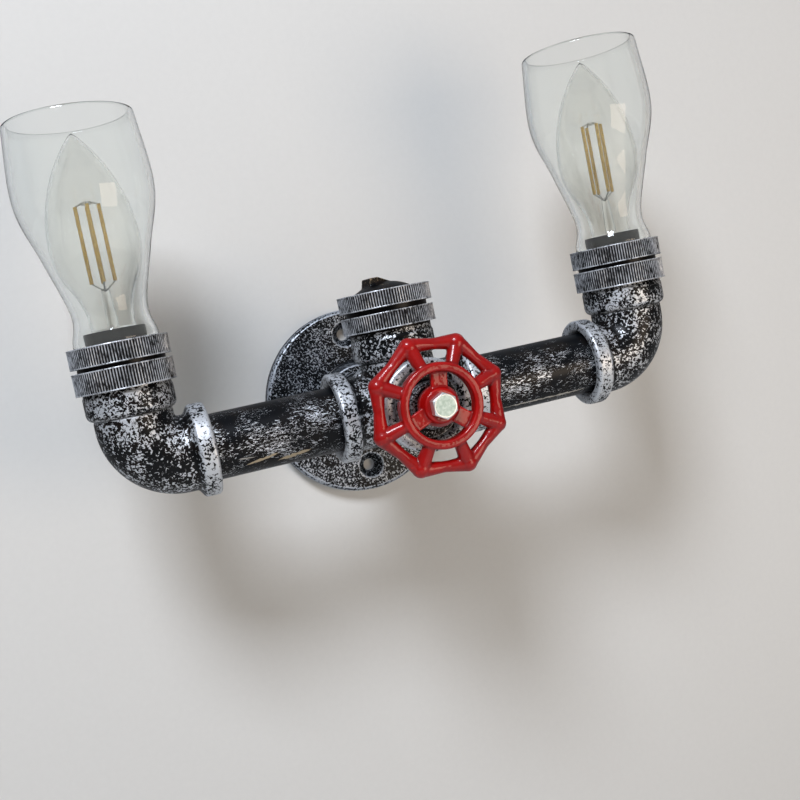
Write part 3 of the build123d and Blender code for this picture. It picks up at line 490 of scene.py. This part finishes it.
def clear_glass(name, tint, wave):
    """Blown glass, fully clear: its faint swell, wave metres high, makes reflections swim."""
    material, tree, place = new_material(name)
    swell = add(tree, "TexNoise", {
        "Vector": place, "Scale": 1 / GLASS_SWELL, "Detail": 1.0, "Roughness": 0.6,
    })
    shader = add(tree, "BsdfPrincipled", {
        "Base Color": linear(tint),
        "Transmission Weight": 1.0,
        "IOR": 1.5,
        "Roughness": 0.0,
        "Normal": add(tree, "Bump", {"Strength": 0.3, "Distance": wave, "Height": swell}),
    })
    add(tree, "OutputMaterial", {"Surface": shader})
    return material


# Malleable iron, cast in sand, painted and wiped: silver specks on pitted black, more of them on
# the collars, and a bright line where the moulds met.
cross_iron = rubbed_silver(
    "cast_iron_cross", speck=1.2 * MM, cover=0.34, patch=12 * MM, swing=0.09, worn=0.12,
    more=more_on_collars(CROSS_CENTRE, CROSS_ARM - COLLAR_WIDTH, "Z"),
)
elbow_iron = {
    side: rubbed_silver(
        "cast_iron_elbow_" + side, speck=1.2 * MM, cover=0.36, patch=12 * MM, swing=0.09,
        worn=0.12, more=more_on_collars(ELBOW_CENTRE[side], ELBOW_ARM - COLLAR_WIDTH, "Y"),
    )
    for side in SIDES
}
# The same iron with more silver: the cups look paler. Their threads stay black, which also paints
# the shade in the groove between the rings.
cup_iron = rubbed_silver(
    "cast_iron_cup", speck=1.1 * MM, cover=0.46, patch=10 * MM, swing=0.09, worn=0.12,
    more=unwiped_thread_and_groove_shade,
)
# Grey iron, cast in sand and wiped hard: a cold, even mottle with a bright rim and hole edges.
flange_iron = rubbed_silver(
    "cast_iron_flange", speck=1.0 * MM, cover=0.33, patch=9 * MM, swing=0.05, worn=0.6,
    silver="#b0b6be", paints=("#07090c", "#0b0e13"),
)
# Drawn steel tube, painted and dry brushed: mostly smooth black, with long specks and thin curls,
# and more silver along the front as a painted highlight.
pipe_steel = rubbed_silver(
    "pipe_steel_brushed", speck=0.5 * MM, cover=0.06, patch=12 * MM, swing=0.09,
    silver="#dfe3e8", paints=("#06080c", "#120c08"), stretch=(3, 1, 1),
    more=swirls_and_highlight_on_pipe, over=streaks_on_pipe,
)
# Turned iron, painted: dark, with silver on its steps' edges.
bushing_iron = rubbed_silver(
    "turned_iron_bushing", speck=0.8 * MM, cover=0.25, patch=6 * MM, swing=0.05, worn=0.3,
)
# Cast bronze gone dark: brown-black, with dull gold where hands have rubbed its edges.
plug_bronze = rubbed_silver(
    "cast_bronze_plug", speck=0.7 * MM, cover=0.06, patch=6 * MM, swing=0.05, worn=0.28,
    silver="#8a7a63",
)
enamel = red_enamel()

SLOT_FINISH = {
    "flange_iron": flange_iron,
    "fitting_iron": cup_iron,
    "pipe_steel": pipe_steel,
    "plug_bronze": plug_bronze,
    "red_enamel": enamel,
    "zinc_steel": zinc_plate(middle("handwheel_bolt")),
    # Turned steel: bright grey, with soft highlights round the spindle
    "spindle_steel": clouded(
        "spindle_steel_turned", "#8f8f8d", "#5f5f5f", 1.5 * MM, 0.3, metallic=1.0,
    ),
    # Blued spring steel: nearly black, and still a metal in its highlights
    "spring_steel": clouded(
        "spring_steel_blued", "#4a4a4c", "#303033", 1.0 * MM, 0.35, metallic=1.0,
    ),
    # Moulded rubber: matt black that gives no highlight
    "gasket_rubber": clouded("rubber_gasket_moulded", "#2a2a2b", "#1c1c1d", 0.4 * MM, 0.7),
    # Soda-lime glass, blown by mouth: a wall that swells a little, with a faintly green edge
    "clear_glass": clear_glass("shade_glass_blown", "#fafcfb", SHADE_WAVE),
    # Soda-lime glass, blown in a machine: clear and even
    "lamp_glass": clear_glass("lamp_glass_blown", "#fbfbf9", LAMP_WAVE),
    # Silicone gel with phosphor, cast round the filaments: soft, dull egg yellow
    "filament": clouded("phosphor_gel_cast", "#f0cc62", "#d9a62e", 0.9 * MM, 0.5),
    # Phenolic, moulded: hard black with a low shine
    "holder_ceramic": clouded("phenolic_black_moulded", "#1f1f20", "#161617", 0.5 * MM, 0.35),
    # Brass, pressed from sheet: warm yellow with a broken polish
    "brass": clouded("brass_pressed", "#c9a558", "#a3803c", 1.2 * MM, 0.28, metallic=1.0),
    # Brass cap, pressed and nickel plated: pale, slightly warm and bright
    "lamp_cap_metal": clouded(
        "lamp_cap_nickel_plated", "#c7c5bf", "#a9a7a0", 1.0 * MM, 0.25, metallic=1.0,
    ),
    # Nylon, moulded: milky white with a soft shine
    "terminal_plastic": clouded("nylon_white_moulded", "#e4e2dc", "#d6d3cb", 0.6 * MM, 0.4),
    # PVC, extruded: plain dark grey, between matt and shiny
    "lead_sheath": clouded("pvc_sheath_extruded", "#4b4b4d", "#3d3d3f", 0.5 * MM, 0.5),
}

# ---------------------------------------------------------------- pieces


def place_piece(name, bm, node, material):
    """Puts a finished mesh in the scene for a CAD node, on the node's body and in its slot."""
    mesh = bpy.data.meshes.new(name)
    bm.to_mesh(mesh)
    bm.free()
    mesh.materials.append(material)
    piece = bpy.data.objects.new(name, mesh)
    bpy.context.scene.collection.objects.link(piece)
    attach(piece, NODES[node]["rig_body"])
    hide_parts(node)
    return piece


def welded_copy(node):
    """The CAD node's own surface, with its loose triangles joined."""
    bm = bmesh.new()
    bm.from_mesh(NODES[node].data)
    bmesh.ops.remove_doubles(bm, verts=bm.verts, dist=WELD)
    return bm


def keep_modifiers(piece):
    """Puts what the modifiers make into the piece's own mesh."""
    bpy.context.view_layer.update()
    made = piece.evaluated_get(bpy.context.evaluated_depsgraph_get())
    mesh = bpy.data.meshes.new_from_object(made)
    piece.modifiers.clear()
    piece.data = mesh


def add_taper(bm, start, end, start_radius, end_radius):
    """A tapered round bar from start to end."""
    turn = (end - start).to_track_quat("Z", "Y").to_matrix().to_4x4()
    bmesh.ops.create_cone(
        bm, cap_ends=True, segments=BAR_SIDES, radius1=start_radius, radius2=end_radius,
        depth=(end - start).length, matrix=Matrix.Translation((start + end) / 2) @ turn,
    )


def fattened_wheel():
    """The wheel with the metal that gathers where its spokes and rim bars run into each knob."""
    bm = welded_copy("handwheel")
    axis = middle("handwheel")
    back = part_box("handwheel")[1].y

    def place_at(step, circle, height):
        angle = WHEEL_FIRST_KNOB + step * 2 * pi / WHEEL_KNOB_COUNT
        return Vector((axis.x + circle * cos(angle), back - height, axis.z + circle * sin(angle)))

    for step in range(WHEEL_KNOB_COUNT):
        knob = place_at(step, WHEEL_KNOB_CIRCLE, WHEEL_KNOB_HEIGHT)
        foot = place_at(step, WHEEL_RING_CIRCLE, WHEEL_RING_HEIGHT)
        boss = Matrix.Translation(place_at(step, WHEEL_BOSS_CIRCLE, WHEEL_KNOB_HEIGHT))
        bmesh.ops.create_icosphere(
            bm, subdivisions=WHEEL_BOSS_STEPS, radius=WHEEL_BOSS_RADIUS, matrix=boss,
        )
        add_taper(bm, foot, knob, WHEEL_SPOKE_RADIUS, WHEEL_KNOB_RADIUS)
        for other in (step - 1, step + 1):
            next_knob = place_at(other, WHEEL_KNOB_CIRCLE, WHEEL_KNOB_HEIGHT)
            gusset_end = knob.lerp(next_knob, WHEEL_GUSSET_SHARE)
            add_taper(bm, knob, gusset_end, WHEEL_KNOB_RADIUS, WHEEL_GUSSET_RADIUS)
    return bm


def casting(node, material, grid_size, easing, bm=None):
    """The node as one poured casting: its edges rounded and its inner corners filled."""
    piece = place_piece(node + "_casting", bm or welded_copy(node), node, material)
    grid = piece.modifiers.new("even_grid", "REMESH")
    grid.mode = "VOXEL"
    grid.voxel_size = grid_size
    grid.use_smooth_shade = True
    ease = piece.modifiers.new("eased_corners", "SMOOTH")
    ease.factor = 0.5
    ease.iterations = easing
    keep_modifiers(piece)


def machined(node, material, edge_break, suffix):
    """The node with every sharp edge broken by a small bevel."""
    bm = welded_copy(node)
    bmesh.ops.dissolve_limit(bm, angle_limit=FLAT_ENOUGH, verts=bm.verts, edges=bm.edges)
    sharp = [e for e in bm.edges if len(e.link_faces) == 2 and e.calc_face_angle() > SHARP_EDGE]
    bmesh.ops.bevel(
        bm, geom=sharp, offset=edge_break, offset_type="OFFSET", affect="EDGES",
        segments=1, profile=0.5, material=-1, clamp_overlap=True,
    )
    place_piece(node + suffix, bm, node, material)


def knurled_ring(node):
    """Rolled knurling: ridge tips and rims are broken by a small bevel."""
    low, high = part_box(node)
    material = knurled_silver(node + "_silver", middle(node), (high.x - low.x) / 2)
    machined(node, material, EDGE_BREAK, "_knurled")


def blown_shade(side):
    """The shade drawn as one smooth blown wall with a fire-polished lip, and turned."""
    node = side + "_glass_shade"
    knots = [Vector((0, 0, 0))] + [Vector((radius, 0, height)) for radius, height in SHADE_KNOTS]
    knots[0].x = knots[1].x
    # At each knot the wall runs as the line between its neighbours does, and upright at the neck.
    slopes = [(after - before) / 6 for before, after in zip(knots, knots[2:])]
    slopes[0] = Vector((0, 0, slopes[0].z))
    slopes.append((knots[-1] - knots[-2]) / 3)
    outside = [knots[0]]
    for start, end, leave, reach in zip(knots[1:], knots[2:], slopes, slopes[1:]):
        outside += interpolate_bezier(start, start + leave, end - reach, end, SHADE_STEPS)[:-1]
    # The wall stops short of the mouth by half its thickness, and a half round closes it there.
    outside.append(knots[-1] - Vector((0, 0, SHADE_WALL / 2)))
    inside = [point - Vector((SHADE_WALL, 0, 0)) for point in reversed(outside)]
    lip_centre = (outside[-1] + inside[0]) / 2
    lip_angles = [pi * step / SHADE_LIP_STEPS for step in range(1, SHADE_LIP_STEPS)]
    lip = [lip_centre + SHADE_WALL / 2 * Vector((cos(turn), 0, sin(turn))) for turn in lip_angles]
    bm = bmesh.new()
    ring = [bm.verts.new(point * MM) for point in outside + lip + inside]
    edges = [bm.edges.new(pair) for pair in zip(ring, ring[1:] + ring[:1])]
    bmesh.ops.spin(
        bm, geom=ring + edges, cent=(0, 0, 0), axis=(0, 0, 1), angle=2 * pi,
        steps=SHADE_SEGMENTS, use_merge=True,
    )
    bmesh.ops.recalc_face_normals(bm, faces=bm.faces)
    bmesh.ops.translate(bm, vec=foot_of(node), verts=bm.verts)
    for face in bm.faces:
        face.smooth = True
    place_piece(side + "_shade_blown", bm, node, SLOT_FINISH["clear_glass"])


def filament_mount(side):
    """What stands in the lamp: a glass stem, four coated sticks and the wires that hold them."""
    node = side + "_filament_mount"
    foot = foot_of(node)

    def up(x, y, height):
        return foot + Vector((x, y, height))

    stem, sticks, wires = bmesh.new(), bmesh.new(), bmesh.new()
    add_taper(stem, foot, up(0, 0, STEM_HEIGHT), STEM_FOOT_RADIUS, STEM_TOP_RADIUS)
    in_stem = up(0, 0, STEM_HEIGHT - WIRE_SUNK)
    for step in range(STICK_COUNT):
        angle = step * 2 * pi / STICK_COUNT
        x, y = STICK_CIRCLE * cos(angle), STICK_CIRCLE * sin(angle)
        stick_foot, stick_top = up(x, y, STICK_FOOT), up(x, y, STICK_TOP)
        in_crown = up(x * WIRE_LEAN, y * WIRE_LEAN, STICK_TOP + WIRE_RISE)
        add_taper(sticks, stick_foot, stick_top, STICK_RADIUS, STICK_RADIUS)
        add_taper(wires, in_stem, stick_foot, WIRE_RADIUS, WIRE_RADIUS)
        add_taper(wires, stick_top, in_crown, WIRE_RADIUS, WIRE_RADIUS)
    crown_foot, crown_top = up(0, 0, STICK_TOP + CROWN_FOOT), up(0, 0, STICK_TOP + CROWN_TOP)
    add_taper(wires, crown_foot, crown_top, CROWN_RADIUS, CROWN_RADIUS)
    place_piece(side + "_filament_stem", stem, node, SLOT_FINISH["lamp_glass"])
    place_piece(side + "_filament_sticks", sticks, node, SLOT_FINISH["filament"])
    place_piece(side + "_filament_wires", wires, node, SLOT_FINISH["lamp_cap_metal"])


casting("handwheel", enamel, WHEEL_GRID, WHEEL_EASING, fattened_wheel())
casting("center_fitting", cross_iron, CROSS_GRID, CROSS_EASING)
casting("wall_flange", flange_iron, FLANGE_GRID, FLANGE_EASING)
casting("front_bushing", bushing_iron, BUSHING_GRID, BUSHING_EASING)
casting("top_plug", plug_bronze, PLUG_GRID, PLUG_EASING)
casting("center_cup", cup_iron, CUP_GRID, CUP_EASING)
for side in SIDES:
    casting(side + "_elbow", elbow_iron[side], ELBOW_GRID, ELBOW_EASING)
    casting(side + "_cup", cup_iron, CUP_GRID, CUP_EASING)
    blown_shade(side)
    filament_mount(side)
for ring in [n for n in NODES if SLOTS[n] == "ring_metal"]:
    knurled_ring(ring)
machined("handwheel_bolt", SLOT_FINISH["zinc_steel"], BOLT_EDGE_ROUND, "_rolled")

for node in NODES.values():
    finish = SLOT_FINISH.get(SLOTS[node.name])
    if finish:
        node.data.materials.clear()
        node.data.materials.append(finish)

# ---------------------------------------------------------------- camera, light and stage

camera = bpy.data.objects.new("camera", bpy.data.cameras.new("camera"))
camera.data.sensor_width = CAMERA_SENSOR
camera.data.lens = CAMERA_LENS
camera.data.clip_start = CAMERA_NEAR
camera.location = CAMERA_PLACE
aim = Vector((
    sin(CAMERA_HEADING) * cos(CAMERA_TILT),
    cos(CAMERA_HEADING) * cos(CAMERA_TILT),
    sin(CAMERA_TILT),
))
camera.rotation_mode = "QUATERNION"
camera.rotation_quaternion = Quaternion(aim, CAMERA_ROLL) @ aim.to_track_quat("-Z", "Y")
bpy.context.scene.collection.objects.link(camera)
bpy.context.scene.camera = camera


def soft_light(name, place, size, power, colour):
    """Square soft box that faces the middle of the lamp, and isn't seen through the glass."""
    light = bpy.data.lights.new(name, "AREA")
    light.size = size
    light.energy = power
    light.color = linear(colour)[:3]
    box = bpy.data.objects.new(name, light)
    box.location = place
    box.visible_transmission = False
    box.rotation_mode = "QUATERNION"
    box.rotation_quaternion = (CROSS_CENTRE - Vector(place)).to_track_quat("-Z", "Y")
    bpy.context.scene.collection.objects.link(box)


# Cool daylight from the upper left, and a weak warm light from the lower right
soft_light("key_light", (-0.35, -0.85, 0.85), size=0.35, power=13.0, colour="#ecf3ff")
soft_light("fill_light", (0.5, -0.9, -0.15), size=0.5, power=3.0, colour="#ffe9d0")


def pale_card(name, colour, other):
    """Matt card seen from its front only, so that views from behind look through it."""
    material, tree, place = new_material(name)
    fibres = add(tree, "TexNoise", {
        "Vector": place, "Scale": 1 / CARD_FIBRE, "Detail": 4.0, "Roughness": 0.6,
    })
    front = add(tree, "BsdfPrincipled", {
        "Base Color": add(tree, "MixRGB", [fibres, linear(colour), linear(other)]),
        "Roughness": 0.9,
    })
    behind = add(tree, "NewGeometry").outputs["Backfacing"]
    either = add(tree, "MixShader", [behind, front, add(tree, "BsdfTransparent")])
    add(tree, "OutputMaterial", {"Surface": either})
    return material


def stage_card(name, place, turn, material):
    """Square card of the stage, turned from lying flat and then moved to its place."""
    bm = bmesh.new()
    bmesh.ops.create_grid(bm, x_segments=1, y_segments=1, size=STAGE_SIZE / 2)
    bmesh.ops.transform(bm, matrix=Matrix.Translation(place) @ turn, verts=bm.verts)
    mesh = bpy.data.meshes.new(name)
    bm.to_mesh(mesh)
    bm.free()
    mesh.materials.append(material)
    card = bpy.data.objects.new(name, mesh)
    bpy.context.scene.collection.objects.link(card)
    return card


card = pale_card("pale_card", "#dddbd6", "#d8d6d1")
wall = stage_card("wall", Vector((0, WALL_GAP, 0)), Matrix.Rotation(pi / 2, 4, "X"), card)
# Light passes through the wall to the back of the flange, which shows in views from behind.
wall.visible_diffuse = False
wall.visible_glossy = False
wall.visible_shadow = False
stage_card("floor", Vector((0, 0, -FLOOR_DROP)), Matrix.Identity(4), card)

# Studio air: bright overhead and darker below, so that round metal shows its form. The camera, also
# through glass, sees it as the wall's own pale tone.
world = bpy.data.worlds.new("studio")
bpy.context.scene.world = world
world.use_nodes = True
air = world.node_tree
air.nodes.clear()
rise = add(air, "SeparateXYZ", [add(air, "TexCoord").outputs["Generated"]]).outputs["Z"]
height = add(air, "MapRange", [rise, -0.3, 0.7])
tone = add(air, "MixRGB", [height, linear("#71695f"), linear("#e6edf8")])
rays = add(air, "LightPath").outputs
seen = add(air, "Math", [rays["Is Camera Ray"], rays["Is Transmission Ray"]], operation="MAXIMUM")
glow = add(air, "Background", {
    "Color": add(air, "MixRGB", [seen, tone, linear("#eceae6")]),
    "Strength": add(air, "MapRange", [seen, 0, 1, 0.32, 1.0]),
})
add(air, "OutputWorld", {"Surface": glow})

bpy.context.scene.view_settings.view_transform = "Standard"
